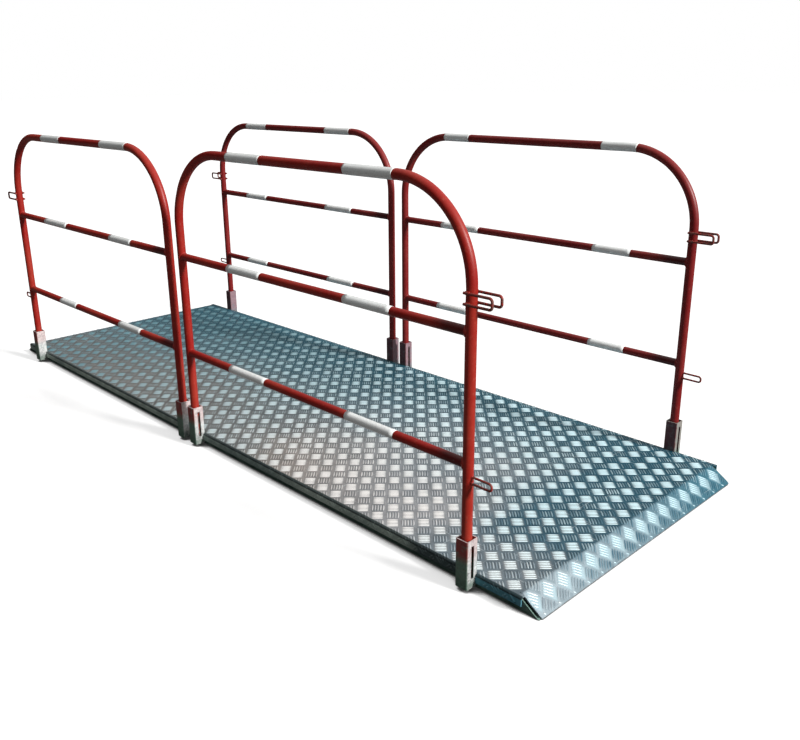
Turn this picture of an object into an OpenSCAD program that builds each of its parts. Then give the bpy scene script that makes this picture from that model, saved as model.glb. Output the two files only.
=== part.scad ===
// Temporary footbridge: a checker-plate deck on a low tube frame, with four lift-out guard hoops
// whose posts stand in square sockets along both sides.
// X runs along the walkway, Y across it and Z up. The origin is on the ground under the middle.

/* [Deck plate] */
// Length of the deck from nose tip to nose tip
deck_length = 3000; // [2400:50:4000]
// Width of the deck over its folded side edges
deck_width = 1020; // [700:10:1500]
// Height of the walking surface above the ground
deck_height = 45; // [38:1:80]
// Thickness of the checker plate
plate_t = 4; // [2:0.5:5]
// Inner radius of every fold in the plate
fold_r = 2; // [1:0.5:4]
// Slope of the nose at each end, in degrees below level
nose_angle = 34.13; // [25:0.01:45]
// Depth of the folded side edge below the walking surface
edge_drop = 25; // [16:1:34]
// How far the nose's sides are cut in from the folded side edges
nose_inset = 18; // [12:1:40]
// How far each folded side edge runs on past the start of the nose
edge_run = 12; // [2:1:30]
// Width of the slit between the nose and the side edge that runs on beside it
corner_relief = 2; // [1:0.5:4]
// Clearance cut into the plate round each socket
notch_clearance = 1; // [0.5:0.5:3]

/* [Deck frame] */
// Width of each side rail's tube
side_rail_w = 40; // [30:1:60]
// How far the side rail sits in from the plate's folded edge
edge_overhang = 9; // [6:1:20]
// Gap between the side rail's slanted end and the nose above it
rail_end_gap = 1; // [0.5:0.5:4]
// Wall of the side rails and cross members
frame_wall = 3; // [2:0.5:4]
// Outer corner radius of every square tube, in walls
corner_walls = 1.5; // [1.2:0.1:2]
// Distance from the start of the nose fold back to the end cross members
cross_setback = 3; // [1:1:20]
// Number of cross members
cross_count = 7; // [5:1:9]
// Width of each cross member, along the walkway
cross_w = 40; // [30:1:60]
// Height of each cross member
cross_h = 30; // [20:1:34]

/* [Sockets] */
// Outer width of each square socket
socket_w = 40; // [38:1:50]
// Wall of the socket's tube
socket_wall = 3; // [2:0.5:3.5]
// Height of the socket's open mouth above the walking surface
socket_stand = 100; // [60:5:160]
// Gap between the ground and the socket's lower end
socket_ground_gap = 10; // [2:1:15]
// Thickness of the stop that the post stands on
stop_t = 4; // [3:1:8]
// Width of the slot in the socket's outward face
slot_w = 10; // [6:1:16]
// Distance from the socket's mouth down to the slot
slot_top_margin = 17; // [15:1:40]
// Length of the slot
slot_length = 92; // [30:2:94]

/* [Guard hoops] */
// Distance from each end of the deck in to the outer posts' axis
post_setback = 214; // [190:2:400]
// Distance between the neighbouring post axes of two hoops at mid length
hoop_spacing = 80; // [60:2:200]
// Outer diameter of the hoop's tube
hoop_d = 28; // [22:1:30]
// Wall of the hoop's tube
hoop_wall = 2.5; // [1.5:0.5:4]
// Radius of the hoop's upper bends, on the tube's axis
bend_r = 235; // [100:5:300]
// Height of the top bar's axis above the walking surface
top_bar_height = 966; // [800:2:1200]
// Height of the middle rail's axis above the walking surface
middle_rail_height = 629; // [500:1:700]
// Height of the lower rail's axis above the walking surface
lower_rail_height = 298; // [230:1:450]
// Outer diameter of the middle and lower rails
rail_d = 25; // [16:1:28]
// Wall of the middle and lower rails
rail_wall = 2; // [1:0.5:3]

/* [Coupling loops] */
// Diameter of the upper loops' rod
upper_rod_d = 7; // [5:0.5:9]
// Distance between the two legs of an upper loop, on the rod's axis
upper_loop_gap = 26; // [22:1:40]
// Height of the upper loops' middle above the middle rail's axis
upper_loop_rise = 80; // [50:1:110]
// How far the upper loop's legs run back past the post's axis
upper_leg_back = 10; // [8:1:30]
// Diameter of the lower loop's rod
lower_rod_d = 6; // [4:0.5:8]
// Distance between the two legs of the lower loop, on the rod's axis
lower_loop_gap = 18; // [17:1:30]
// Distance from the lower rail's axis down to the lower loop's middle
lower_loop_fall = 38; // [30:1:90]
// Reach of every loop from the post's axis to the rod's outside
loop_reach = 76; // [60:1:100]
// Radius of the loops' corners, on the rod's axis
loop_bend_r = 8; // [6:0.5:8]
// Depth that the rods are let into the post for welding
weld_seat = 0.5; // [0.2:0.1:1]

/* [Hidden] */
$fn = 64;
SIDES = ["front", "rear"];
ENDS = ["left", "right"];

// the folded plate
fold_outer_r = fold_r + plate_t;
nose_drop = deck_height - fold_outer_r * (1 - cos(nose_angle)) - plate_t * cos(nose_angle);
nose_slope_length = nose_drop / sin(nose_angle);
nose_start_x = deck_length / 2 - nose_slope_length * cos(nose_angle)
    - fold_outer_r * sin(nose_angle);
nose_half = deck_width / 2 - nose_inset;

// the frame under it
frame_top = deck_height - plate_t;
rail_face_y = deck_width / 2 - edge_overhang;
cross_end_x = nose_start_x - cross_setback - cross_w / 2;
cross_pitch = 2 * cross_end_x / (cross_count - 1);

// the sockets, and the posts that stand in them
inner_post_x = hoop_spacing / 2;
outer_post_x = deck_length / 2 - post_setback;
hoop_span = outer_post_x - inner_post_x;
guard_y = rail_face_y + socket_w / 2;
socket_top = deck_height + socket_stand;
post_foot = socket_ground_gap + stop_t;

// the guard hoops
top_bar_z = deck_height + top_bar_height;
middle_rail_z = deck_height + middle_rail_height;
lower_rail_z = deck_height + lower_rail_height;

// One side and one end of the bridge: the children are drawn for the front right quarter.
module at_quarter(side, end) {
    mirror([0, side == "rear" ? 1 : 0, 0])
        mirror([end == "left" ? 1 : 0, 0, 0])
            children();
}

// Rectangle with rounded corners, centred, drawn flat.
module rounded_rect(width, height, r) {
    square([width - 2 * r, height], center = true);
    square([width, height - 2 * r], center = true);
    for (x = [-1, 1], y = [-1, 1])
        translate([x * (width / 2 - r), y * (height / 2 - r)]) circle(r = r);
}

// Square or rectangular hollow section, drawn flat: its corners are bent round the wall.
module box_section(width, height, wall) {
    difference() {
        rounded_rect(width, height, corner_walls * wall);
        rounded_rect(width - 2 * wall, height - 2 * wall, (corner_walls - 1) * wall);
    }
}

// Square or rectangular tube along X, centred on the X axis.
module box_tube(length, width, height, wall) {
    translate([-length / 2, 0, 0]) rotate([90, 0, 90])
        linear_extrude(length) box_section(width, height, wall);
}

// Round hollow section, drawn flat.
module ring(diameter, wall) {
    difference() {
        circle(d = diameter);
        circle(d = diameter - 2 * wall);
    }
}

// A sheet's bend seen end on, from straight up round towards +X by an angle of at most 90.
module fold(angle) {
    intersection() {
        difference() {
            circle(r = fold_outer_r);
            circle(r = fold_r);
        }
        square(2 * fold_outer_r);
        rotate(-angle) translate([-2 * fold_outer_r, 0]) square(2 * fold_outer_r);
    }
}

// The plate seen from the side: the flat and both sloped noses.
module side_outline() {
    for (turn = [0, 1]) mirror([turn, 0]) {
        translate([0, deck_height - plate_t]) square([nose_start_x, plate_t]);
        translate([nose_start_x, deck_height - fold_outer_r]) {
            fold(nose_angle);
            rotate(-nose_angle) translate([0, fold_r]) square([nose_slope_length, plate_t]);
        }
    }
}

// One folded side edge seen end on, with the strip of the flat plate that passes beside the nose.
module edge_section(strip) {
    translate([deck_width / 2 - fold_outer_r, deck_height - fold_outer_r]) {
        translate([-strip, fold_r]) square([strip, plate_t]);
        fold(90);
        translate([fold_r, fold_outer_r - edge_drop]) square([plate_t, edge_drop - fold_outer_r]);
    }
}

// Room for one socket in the plate's edge.
module socket_notch(x) {
    notch_w = socket_w + 2 * notch_clearance;
    translate([x - notch_w / 2, rail_face_y - notch_clearance, 0])
        cube([notch_w, deck_width, 2 * deck_height]);
}

module tread_plate() {
    edge_half = nose_start_x + edge_run;
    strip = nose_inset - fold_outer_r - corner_relief;
    flat_half = nose_start_x - 2 * corner_relief;
    flat_side = nose_half + corner_relief + strip / 2;
    color([0.55, 0.62, 0.64]) difference() {
        union() {
            translate([0, nose_half, 0]) rotate([90, 0, 0])
                linear_extrude(2 * nose_half) side_outline();
            translate([-flat_half, -flat_side, frame_top])
                cube([2 * flat_half, 2 * flat_side, plate_t]);
            for (turn = [0, 1]) mirror([0, turn, 0])
                translate([-edge_half, 0, 0]) rotate([90, 0, 90])
                    linear_extrude(2 * edge_half) edge_section(strip);
        }
        for (side = SIDES, end = ENDS) at_quarter(side, end) mirror([0, 1, 0]) {
            socket_notch(inner_post_x);
            socket_notch(outer_post_x);
        }
    }
}

// Side rail with slanted open ends that reach down under the noses.
module side_rail(side) {
    color([0.35, 0.40, 0.42]) mirror([0, side == "front" ? 1 : 0, 0]) difference() {
        translate([0, rail_face_y - side_rail_w / 2, frame_top / 2])
            box_tube(deck_length, side_rail_w, frame_top, frame_wall);
        for (turn = [0, 1]) mirror([turn, 0, 0])
            translate([nose_start_x, 0, deck_height - fold_outer_r]) rotate([0, nose_angle, 0])
                translate([-deck_height, 0, fold_r - rail_end_gap])
                    cube([5 * deck_height, deck_width, 3 * deck_height]);
    }
}

module cross_member(number) {
    cross_length = 2 * (rail_face_y - side_rail_w);
    color([0.38, 0.42, 0.44])
        translate([-cross_end_x + (number - 1) * cross_pitch, 0, frame_top - cross_h / 2])
            rotate([0, 0, 90]) box_tube(cross_length, cross_w, cross_h, frame_wall);
}

// Square tube with a stop plate in its foot and a slot in the face that looks along the walkway.
module socket(side, end, post_x) {
    socket_length = socket_top - socket_ground_gap;
    bore_w = socket_w - 2 * socket_wall;
    color([0.66, 0.70, 0.71]) at_quarter(side, end)
        translate([post_x, -guard_y, socket_ground_gap]) {
            difference() {
                linear_extrude(socket_length) box_section(socket_w, socket_w, socket_wall);
                translate([0, -slot_w / 2, socket_length - slot_top_margin - slot_length])
                    cube([socket_w, slot_w, slot_length]);
            }
            linear_extrude(stop_t) square(bore_w + socket_wall / 2, center = true);
        }
}

// Tube bent to a hoop: two posts, two quarter bends and the top bar between them.
module hoop_tube() {
    post_length = top_bar_z - bend_r - post_foot;
    bar_length = hoop_span - 2 * bend_r;
    for (x = [inner_post_x, outer_post_x])
        translate([x, 0, post_foot]) linear_extrude(post_length) ring(hoop_d, hoop_wall);
    translate([inner_post_x + bend_r, 0, top_bar_z]) rotate([90, 0, 90])
        linear_extrude(bar_length) ring(hoop_d, hoop_wall);
    translate([outer_post_x - bend_r, 0, top_bar_z - bend_r]) rotate([90, 0, 0])
        rotate_extrude(angle = 90) translate([bend_r, 0]) ring(hoop_d, hoop_wall);
    translate([inner_post_x + bend_r, 0, top_bar_z - bend_r]) rotate([90, 0, 0])
        rotate([0, 0, 90]) rotate_extrude(angle = 90)
            translate([bend_r, 0]) ring(hoop_d, hoop_wall);
}

module guard_hoop(side, end) {
    color([0.78, 0.13, 0.06]) at_quarter(side, end) translate([0, -guard_y, 0]) hoop_tube();
}

// Solid of one post, for coping what is welded to it.
module post_solid(x) {
    translate([x, 0, 0]) cylinder(d = hoop_d, h = top_bar_z);
}

// Straight rail between the posts, coped to their round faces.
module guard_rail(side, end, z) {
    color([0.78, 0.13, 0.06]) at_quarter(side, end) translate([0, -guard_y, 0]) difference() {
        translate([inner_post_x, 0, z]) rotate([90, 0, 90])
            linear_extrude(hoop_span) ring(rail_d, rail_wall);
        post_solid(inner_post_x);
        post_solid(outer_post_x);
    }
}

// Rod bent to a U that lies in an upright plane: its open end at x = 0, its legs along +X.
module rod_loop(length, gap, rod_d) {
    leg = length - rod_d / 2 - loop_bend_r;
    closing = gap - 2 * loop_bend_r;
    for (up = [0, 1]) mirror([0, 0, up]) {
        translate([0, 0, gap / 2]) rotate([0, 90, 0]) cylinder(d = rod_d, h = leg);
        translate([leg, 0, gap / 2 - loop_bend_r]) rotate([90, 0, 0])
            rotate_extrude(angle = 90) translate([loop_bend_r, 0]) circle(d = rod_d);
    }
    translate([leg + loop_bend_r, 0, -closing / 2]) cylinder(d = rod_d, h = closing);
}

// Upper coupling loop, laid against the outside or the inside of the outer post.
module upper_loop(side, end, face) {
    offset_y = (hoop_d + upper_rod_d) / 2 - weld_seat;
    color([0.45, 0.18, 0.14]) at_quarter(side, end) translate([0, -guard_y, 0]) difference() {
        translate([outer_post_x - upper_leg_back, face * offset_y, middle_rail_z + upper_loop_rise])
            rod_loop(loop_reach + upper_leg_back, upper_loop_gap, upper_rod_d);
        post_solid(outer_post_x);
    }
}

// Lower coupling loop, welded end on to the outer post.
module lower_loop(side, end) {
    color([0.45, 0.18, 0.14]) at_quarter(side, end) translate([0, -guard_y, 0]) difference() {
        translate([outer_post_x, 0, lower_rail_z - lower_loop_fall])
            rod_loop(loop_reach, lower_loop_gap, lower_rod_d);
        post_solid(outer_post_x);
    }
}

tread_plate();
side_rail("front");  // side_rail_front
side_rail("rear");  // side_rail_rear
for (i = [1 : cross_count])
    cross_member(i);
for (side = SIDES, end = ENDS) {
    socket(side, end, outer_post_x);
    socket(side, end, inner_post_x);
    guard_hoop(side, end);
    guard_rail(side, end, middle_rail_z);
    guard_rail(side, end, lower_rail_z);
    upper_loop(side, end, -1);
    upper_loop(side, end, 1);
    lower_loop(side, end);
}
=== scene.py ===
# %% [markdown]
# # A site footbridge with lift-out guards
#
# The bridge is a low deck of folded checker plate on square tube. Four guard hoops of red tube,
# banded white, stand loose in eight square sockets along its sides.
# The measured solids come first, and everything below is fitted to them. Then each finish and each
# small form follows in its own cell: the raised bars of the plate, the bent hoops, the white bands
# and the weld beads.

# %% Load the fixed frame
import itertools
import math

import bpy
import numpy as np
from mathutils import Matrix, Vector


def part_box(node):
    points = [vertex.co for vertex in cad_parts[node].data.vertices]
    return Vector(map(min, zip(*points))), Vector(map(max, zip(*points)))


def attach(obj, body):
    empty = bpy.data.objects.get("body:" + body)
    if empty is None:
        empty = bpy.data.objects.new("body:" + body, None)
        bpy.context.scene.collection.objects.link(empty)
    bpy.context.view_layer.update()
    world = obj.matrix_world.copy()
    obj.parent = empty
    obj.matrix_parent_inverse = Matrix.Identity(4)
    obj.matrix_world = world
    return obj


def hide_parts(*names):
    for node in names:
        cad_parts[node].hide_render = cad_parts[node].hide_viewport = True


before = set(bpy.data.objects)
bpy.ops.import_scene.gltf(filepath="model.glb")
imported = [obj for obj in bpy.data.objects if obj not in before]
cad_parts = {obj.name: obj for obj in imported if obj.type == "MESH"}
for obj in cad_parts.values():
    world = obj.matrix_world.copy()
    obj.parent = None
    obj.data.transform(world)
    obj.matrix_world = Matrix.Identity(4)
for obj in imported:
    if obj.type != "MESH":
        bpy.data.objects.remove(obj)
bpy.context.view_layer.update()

# %% [markdown]
# ## Sizes that the other cells share
#
# A piece takes its place from the boxes of the solids, so a deck or a hoop of another size still
# gets its bars and bands in the right place. Only what a box can't tell is written down here: the
# inner radius of the folds, the slope of the noses and the radius of the hoops' bends.

# %% Sizes read from the solids
X, Y, Z = range(3)


def box_middle(node, axis):
    """Middle of a node's box along one axis."""
    low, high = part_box(node)
    return (low[axis] + high[axis]) / 2


def half_size(node, axis):
    """Half of a node's box along one axis."""
    low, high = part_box(node)
    return (high[axis] - low[axis]) / 2


HALF_LENGTH, HALF_WIDTH, DECK_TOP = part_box("tread_plate")[1]
PLATE, FOLD_INSIDE = 0.004, 0.002
FOLD_R = FOLD_INSIDE + PLATE
NOSE_ANGLE = math.radians(34.13)
EDGE_DROP = 0.025      # height of the folded side edges
NOSE_INSET = 0.018     # how much narrower than the deck a nose is, on each side
EDGE_RUN = 0.012       # how far the side edges run on past the start of a nose
nose_drop = DECK_TOP - FOLD_R * (1 - math.cos(NOSE_ANGLE)) - PLATE * math.cos(NOSE_ANGLE)
NOSE_SLOPE = nose_drop / math.sin(NOSE_ANGLE)
NOSE_START = HALF_LENGTH - NOSE_SLOPE * math.cos(NOSE_ANGLE) - FOLD_R * math.sin(NOSE_ANGLE)

hoop_low, hoop_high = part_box("guard_rear_right_hoop")
HOOP_R = half_size("guard_rear_right_hoop", Y)
HOOP_WALL = 0.0025
BEND_R = 0.235
GUARD_Y = box_middle("guard_rear_right_hoop", Y)
POST_IN, POST_OUT = hoop_low.x + HOOP_R, hoop_high.x - HOOP_R
POST_FOOT, TOP_BAR_Z = hoop_low.z, hoop_high.z - HOOP_R
RAIL_Z = [box_middle(f"guard_rear_right_{rail}_rail", Z) for rail in ("middle", "lower")]
RAIL_R = half_size("guard_rear_right_middle_rail", Y)
GUARDS = [(side, end) for side in ("front", "rear") for end in ("left", "right")]
SIGN = {"front": -1, "rear": 1, "left": -1, "right": 1}
print(f"nose starts at x {NOSE_START:.4f}, posts at x {POST_IN:.3f} and {POST_OUT:.3f}")

# %% [markdown]
# ## From arrays to a mesh
#
# Every new piece is a list of points and of faces, worked out as whole arrays. One helper turns them
# into a mesh object. Its place is in its points, so the object itself stays at the origin.

# %% Mesh helpers


def turns(count):
    """count angles that go once round a circle."""
    return np.arange(count) * 2 * math.pi / count


def add_mesh(name, points, face_sets, body, slot, finish, marks=None):
    """Makes a smooth-shaded piece. face_sets holds arrays of corner numbers, one row for each face;
    marks are numbers kept on the points."""
    mesh = bpy.data.meshes.new(name)
    corners = np.concatenate([faces.ravel() for faces in face_sets]).astype(np.int32)
    sizes = np.concatenate([np.full(len(faces), faces.shape[1]) for faces in face_sets])
    mesh.vertices.add(len(points))
    mesh.vertices.foreach_set("co", np.asarray(points, dtype=np.float32).ravel())
    mesh.loops.add(len(corners))
    mesh.loops.foreach_set("vertex_index", corners)
    mesh.polygons.add(len(sizes))
    mesh.polygons.foreach_set("loop_start", np.concatenate([[0], np.cumsum(sizes)[:-1]]))
    mesh.update(calc_edges=True)
    mesh.shade_smooth()
    for mark, values in (marks or {}).items():
        layer = mesh.attributes.new(mark, "FLOAT", "POINT")
        layer.data.foreach_set("value", np.asarray(values, dtype=np.float32).ravel())
    mesh.materials.append(finish)
    piece = bpy.data.objects.new(name, mesh)
    bpy.context.scene.collection.objects.link(piece)
    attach(piece, body)
    return piece


def grid_faces(rows, columns, closed_rows=False, closed_columns=True):
    """Corner numbers of the squares of a grid of points, row after row; a closed direction joins up."""
    i = np.arange(rows if closed_rows else rows - 1)[:, None]
    j = np.arange(columns if closed_columns else columns - 1)[None, :]
    i_next, j_next = (i + 1) % rows, (j + 1) % columns
    square = [i * columns + j, i * columns + j_next, i_next * columns + j_next, i_next * columns + j]
    return np.stack(np.broadcast_arrays(*square), axis=-1).reshape(-1, 4)


def sweep(path, up, radius, sides=16, tangent=None, closed=False):
    """Grid of a round section carried along a path. Point (i, j) is
    path[i] + radius * (cos(a) * normal[i] + sin(a) * side[i]), with a = 2 pi j / sides, the normal the
    part of up square to the path, and side = tangent x normal."""
    path = np.asarray(path, dtype=float)
    if tangent is None and closed:
        tangent = np.roll(path, -1, axis=0) - np.roll(path, 1, axis=0)
    elif tangent is None:
        tangent = np.gradient(path, axis=0)
    tangent = tangent / np.linalg.norm(tangent, axis=1, keepdims=True)
    up = np.broadcast_to(np.asarray(up, dtype=float), path.shape)
    normal = up - (up * tangent).sum(axis=1, keepdims=True) * tangent
    normal = normal / np.linalg.norm(normal, axis=1, keepdims=True)
    side = np.cross(tangent, normal)
    angle = turns(sides)[None, :, None]
    round_it = np.cos(angle) * normal[:, None] + np.sin(angle) * side[:, None]
    radius = np.broadcast_to(np.asarray(radius, dtype=float).reshape(len(np.atleast_1d(radius)), -1),
                             (len(path), sides))
    return path[:, None] + radius[..., None] * round_it


def tube_mesh(grid, first=0, closed=False):
    """Points and faces of a swept grid, with flat ends unless it is closed. first shifts the numbers."""
    rows, sides = grid.shape[:2]
    faces = [grid_faces(rows, sides, closed_rows=closed) + first]
    if not closed:
        start = np.arange(sides)[::-1]
        faces.append(np.stack([start, (rows - 1) * sides + np.arange(sides)]) + first)
    return grid.reshape(-1, 3), faces


def joined(rings=(), strips=()):
    """Several swept grids as one list of points and face sets. Rings close on themselves, and strips
    have flat ends."""
    points, faces, first = [], [], 0
    for grid, closed in [(grid, True) for grid in rings] + [(grid, False) for grid in strips]:
        some_points, some_faces = tube_mesh(grid, first, closed)
        points.append(some_points)
        faces += some_faces
        first += len(some_points)
    return np.concatenate(points), faces


# %% [markdown]
# ## Finishes as recipes
#
# A finish is a Principled shader fed by noise and cell patterns in Object coordinates. Because all
# objects sit at the origin, those are metres on the bridge, and a pattern has its real size. A small
# class keeps each recipe short: every method adds a node and hands back its output.

# %% Finish helpers


def colour(red, green, blue):
    """A display colour, each part from 0 to 255, as the linear colour that a shader takes."""
    parts = [v / 255 for v in (red, green, blue)]
    return tuple(v / 12.92 if v <= 0.04045 else ((v + 0.055) / 1.055) ** 2.4 for v in parts) + (1.0,)


def grey(level):
    """A linear grey."""
    return (level, level, level, 1.0)


class Recipe:
    """Nodes added to one tree, of a material or of the world."""

    def __init__(self, tree):
        self.tree = tree

    def node(self, kind, inputs, **settings):
        """Adds a node. inputs maps a socket's name or number to a value or to another output."""
        node = self.tree.nodes.new(kind)
        for key, value in settings.items():
            setattr(node, key, value)
        for key, value in inputs.items():
            self.feed(node.inputs[key], value)
        return node

    def feed(self, socket, value):
        """Links an output to a socket, or sets the socket to a number or colour."""
        if isinstance(value, bpy.types.NodeSocket):
            self.tree.links.new(value, socket)
        else:
            socket.default_value = value

    def step(self, value, low, high):
        """0 below low, 1 above high, and a smooth rise between them; low may be the higher one."""
        return self.node("ShaderNodeMapRange", {
            "Value": value, "From Min": low, "From Max": high}, interpolation_type="SMOOTHSTEP"
        ).outputs["Result"]

    def calc(self, operation, first, second=0.0, third=0.0):
        """One sum."""
        return self.node("ShaderNodeMath", {0: first, 1: second, 2: third}, operation=operation).outputs[0]

    def unsigned(self, value):
        """A value without its sign."""
        return self.calc("ABSOLUTE", value)

    def minus(self, first, second):
        """Difference of two values."""
        return self.calc("SUBTRACT", first, second)

    def times(self, *values):
        """Product of several values."""
        product = values[0]
        for value in values[1:]:
            product = self.calc("MULTIPLY", product, value)
        return product

    def most(self, *values):
        """Largest of several values."""
        largest = values[0]
        for value in values[1:]:
            largest = self.calc("MAXIMUM", largest, value)
        return largest

    def mix(self, amount, first, second, blend="MIX"):
        """Blends two colours."""
        node = self.tree.nodes.new("ShaderNodeMix")
        node.data_type, node.blend_type = "RGBA", blend
        for socket, value in zip((node.inputs[0], node.inputs[6], node.inputs[7]), (amount, first, second)):
            self.feed(socket, value)
        return node.outputs[2]

    def between(self, amount, first, second):
        """A number between two others: first + amount * (second - first)."""
        return self.calc("MULTIPLY_ADD", amount, self.minus(second, first), first)

    def rays(self, *kinds):
        """1 where the ray is one of these kinds."""
        path = self.node("ShaderNodeLightPath", {})
        return self.most(*(path.outputs[f"Is {kind} Ray"] for kind in kinds))


class Finish(Recipe):
    """One procedural material, with its patterns in Object coordinates."""

    def __init__(self, name, **constants):
        self.material = bpy.data.materials.new(name)
        self.material.use_nodes = True
        super().__init__(self.material.node_tree)
        self.shader = self.tree.nodes["Principled BSDF"]
        for socket, value in constants.items():
            self.shader.inputs[socket.replace("_", " ")].default_value = value
        self.place = self.node("ShaderNodeTexCoord", {}).outputs["Object"]
        self.x, self.y, self.z = self.node("ShaderNodeSeparateXYZ", {0: self.place}).outputs

    def spot(self, stretch=(1, 1, 1), shift=0.0, turn=0.0):
        """Object coordinates, stretched, shifted, and turned about Z."""
        return self.node("ShaderNodeMapping", {
            "Vector": self.place, "Location": (shift, shift * 0.7, shift * 1.3),
            "Rotation": (0, 0, turn), "Scale": stretch,
        }).outputs[0]

    def clouds(self, size, detail=4.0, rough=0.55, **spot):
        """Soft noise with patches about size metres across, from 0 to 1."""
        return self.node("ShaderNodeTexNoise", {
            "Vector": self.spot(**spot), "Scale": 1 / size, "Detail": detail, "Roughness": rough,
        }).outputs["Fac"]

    def drift(self, size, amount, detail=5, **spot):
        """Soft noise from -amount to amount, which keeps the edge of a zone from running straight."""
        return self.calc("MULTIPLY_ADD", self.clouds(size, detail, **spot), 2 * amount, -amount)

    def cells(self, size, output="Distance", feature="F1", **spot):
        """Cell pattern with cells about size metres across."""
        return self.node("ShaderNodeTexVoronoi", {
            "Vector": self.spot(**spot), "Scale": 1 / size}, feature=feature).outputs[output]

    def mark(self, name):
        """A number kept on the mesh's points."""
        return self.node("ShaderNodeAttribute", {}, attribute_name=name).outputs["Fac"]

    def relief(self, *layers):
        """Bump from (height, depth in metres) layers, the coarsest first."""
        normal = None
        for height, depth in layers:
            inputs = {"Height": height, "Distance": depth}
            if normal is not None:
                inputs["Normal"] = normal
            normal = self.node("ShaderNodeBump", inputs).outputs[0]
        self.feed(self.shader.inputs["Normal"], normal)

    def done(self, base, roughness, metallic=None):
        """Feeds the shader and gives the material."""
        self.feed(self.shader.inputs["Base Color"], base)
        self.feed(self.shader.inputs["Roughness"], roughness)
        if metallic is not None:
            self.feed(self.shader.inputs["Metallic"], metallic)
        return self.material


# %% [markdown]
# ## The plate's raised bars: their layout
#
# Five-bar checker plate is rolled with groups of five short bars. The groups lie like the squares of
# a chessboard that stands on its corner, and the bars of neighbouring groups are at right angles.
# A bump pattern could draw them, but then they would have no height along the folds and in a low
# view, so they are made as real forms. The sheet is rolled first and folded afterwards, so the layout
# is worked out on the flat sheet and then carried round the folds.

# %% Layout of the bar groups
PITCH_X, PITCH_Y = 0.0608, 0.0622    # from one group to the next of the same way
GROUP_X, GROUP_Y = 1.404, 0.455      # middle of one group
GROUP_REACH = 0.030                  # a group nearer than this to an edge still has bars on the sheet
BARS_IN_GROUP, BAR_GAP = 5, 0.0080
BAR_HALF_LENGTH, BAR_HALF_WIDTH, BAR_HEIGHT = 0.0170, 0.0028, 0.0019
NOSE_LEAD = 0.004                    # from so far before a nose on, a bar doesn't follow the side folds
FLAT_HALF = HALF_WIDTH - FOLD_R      # half width of the flat between the side folds
SHEET_X = NOSE_START + FOLD_R * NOSE_ANGLE + NOSE_SLOPE
SHEET_Y = FLAT_HALF + FOLD_R * math.pi / 2 + EDGE_DROP - FOLD_R


def group_centres():
    """Centres of all groups on the flat sheet, and 0 or 1 for the way that their bars lie.
    Way 0 sits at whole pitches from the first group, way 1 half a pitch further on both axes."""
    most_x, most_y = math.ceil(2 * SHEET_X / PITCH_X), math.ceil(2 * SHEET_Y / PITCH_Y)
    a, b, way = np.meshgrid(np.arange(-most_x, most_x), np.arange(-most_y, most_y), (0, 1), indexing="ij")
    s = GROUP_X + (a + way / 2) * PITCH_X
    t = GROUP_Y + (b + way / 2) * PITCH_Y
    keep = (np.abs(s) < SHEET_X + GROUP_REACH) & (np.abs(t) < SHEET_Y + GROUP_REACH)
    return s[keep], t[keep], way[keep]


def cut_to_sheet(s, t, run_s, run_t):
    """Shortens bars at the sheet's edges: gives each bar's new middle and half length, and whether
    enough of it is left. A bar near a side edge may run down the fold; the others stop before it.
    clear, fold_clear and run_clear are what it keeps from the rims of the nose and of the folded edge,
    and from that edge's end. shortest is a share of a whole bar."""
    near_fold, shortest = 0.035, 0.3
    clear, fold_clear, run_clear = 0.003, 0.002, 0.004
    by_edge = (np.abs(t) > FLAT_HALF - near_fold) & (np.abs(s) < NOSE_START - EDGE_RUN)
    limit_s = np.where(by_edge, NOSE_START + EDGE_RUN - run_clear, SHEET_X - clear)
    limit_t = np.where(by_edge, SHEET_Y - fold_clear, HALF_WIDTH - NOSE_INSET - clear)
    low, high = np.full(s.shape, -1.0), np.full(s.shape, 1.0)
    for place, run, limit in ((s, run_s, limit_s), (t, run_t, limit_t)):
        one, other = (-limit - place) / run, (limit - place) / run
        low = np.maximum(low, np.minimum(one, other))
        high = np.minimum(high, np.maximum(one, other))
    middle, half = (low + high) / 2, (high - low) / 2
    return s + middle * run_s, t + middle * run_t, half, half > shortest


def on_plate(s, t, rise):
    """Carries a point of the flat sheet (s along, t across, rise above its face) round the folds.
    Past a fold's start the sheet turns at radius FOLD_R until it has turned by the fold's angle, and
    runs straight on; rise is measured along the turned normal."""
    past = np.abs(s) - NOSE_START
    turn = np.clip(past / FOLD_R, 0, NOSE_ANGLE)
    run = np.maximum(past - FOLD_R * NOSE_ANGLE, 0)
    x = np.minimum(np.abs(s), NOSE_START) + (FOLD_R + rise) * np.sin(turn) + run * math.cos(NOSE_ANGLE)
    drop = FOLD_R - (FOLD_R + rise) * np.cos(turn) + run * math.sin(NOSE_ANGLE)
    on_nose = past > -NOSE_LEAD
    past = np.where(on_nose, -1.0, np.abs(t) - FLAT_HALF)
    turn = np.clip(past / FOLD_R, 0, math.pi / 2)
    run = np.maximum(past - FOLD_R * math.pi / 2, 0)
    y = np.where(on_nose, np.abs(t), np.minimum(np.abs(t), FLAT_HALF) + (FOLD_R + rise) * np.sin(turn))
    edge_drop = FOLD_R - (FOLD_R + rise) * np.cos(turn) + run
    z = DECK_TOP - np.where(on_nose, drop, edge_drop)
    return np.stack([np.sign(s) * x, np.sign(t) * y, z], axis=-1)


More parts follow.
